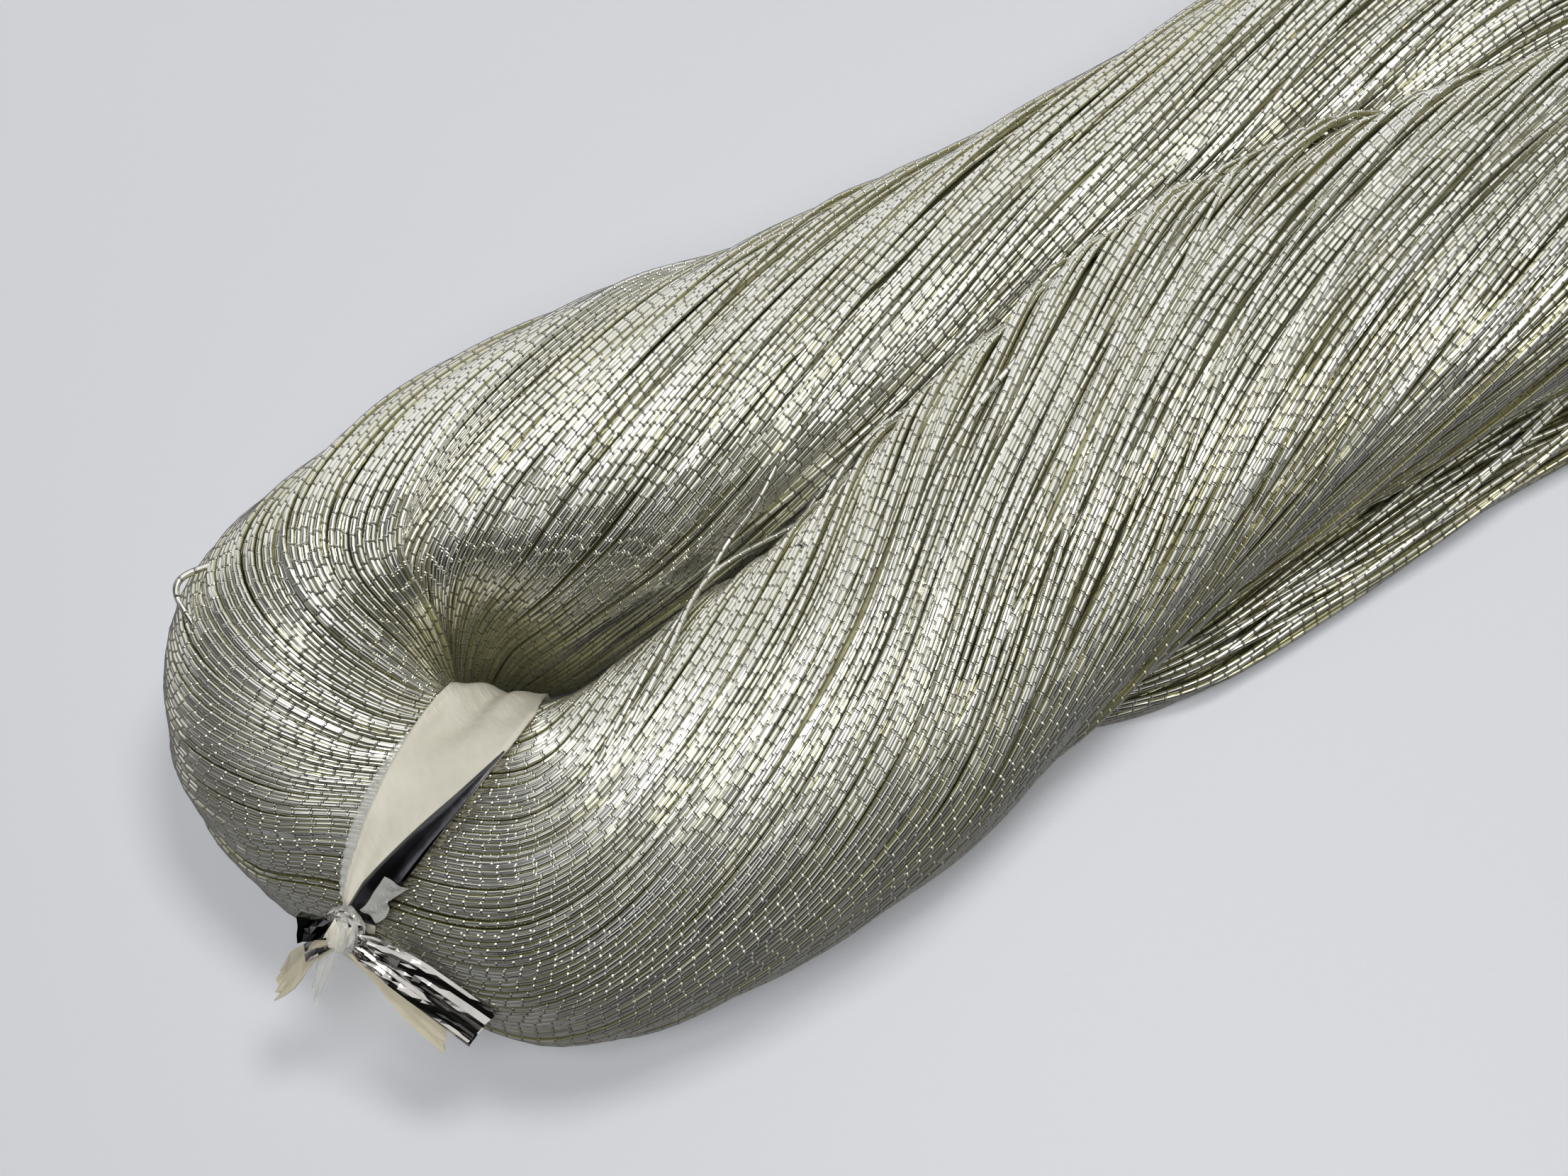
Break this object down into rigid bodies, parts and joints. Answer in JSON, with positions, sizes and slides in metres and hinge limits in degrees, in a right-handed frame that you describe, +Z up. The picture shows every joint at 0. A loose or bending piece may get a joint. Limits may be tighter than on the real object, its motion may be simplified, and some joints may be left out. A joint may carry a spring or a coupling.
{
  "type": "thread hank",
  "caption": "Hank of foil-wrapped metallic thread laid up as a long twisted loop, pinched at one end by a knotted strip of foil-backed paper with free tails.",
  "frame": {"origin": "on the resting surface, below the middle of the box round the whole part", "axes": "+X along the hank from the tied end to the far end, +Y from the front arm to the back arm, +Z up"},
  "size_m": [0.257, 0.0452, 0.0214],
  "materials": {
    "metal_thread": "metallised foil, pale silver with an olive cast",
    "inner_thread": "the same thread in shade",
    "tie_paper": "fibrous cream paper, matte",
    "tie_foil": "mirror foil, creased",
    "tie_film": "clear film, gloss"
  },
  "bodies": {
    "hank": {"lock_1": "metal_thread", "lock_2": "metal_thread", "lock_3": "metal_thread", "lock_4": "metal_thread", "lock_5": "metal_thread", "lock_6": "metal_thread", "lock_7": "metal_thread", "lock_8": "metal_thread", "lock_9": "metal_thread", "core_1": "inner_thread", "core_2": "inner_thread", "core_3": "inner_thread", "side_lock": "metal_thread", "loose_loop": "metal_thread", "paper_band": "tie_paper", "foil_fold": "tie_foil", "film_selvage": "tie_film", "knot": "tie_paper"},
    "long_tail": {"long_tail_foil": "tie_foil", "long_tail_paper": "tie_paper"},
    "short_tail": {"short_tail_foil": "tie_foil", "short_tail_paper": "tie_paper", "short_tail_film": "tie_film"}
  },
  "joints": [
    {"name": "long_tail_bend", "type": "hinge", "parent": "hank", "child": "long_tail", "pos_m": [-0.12342, -0.01028, 0.01254], "axis": [0.8829, 0.4695, 0], "range_deg": [-25, 1], "stiffness_Nm_per_rad": 0.000002},
    {"name": "short_tail_bend", "type": "hinge", "parent": "hank", "child": "short_tail", "pos_m": [-0.12542, -0.0082, 0.01254], "axis": [-0.5, -0.866, 0], "range_deg": [-30, 20], "stiffness_Nm_per_rad": 0.000001}
  ]
}
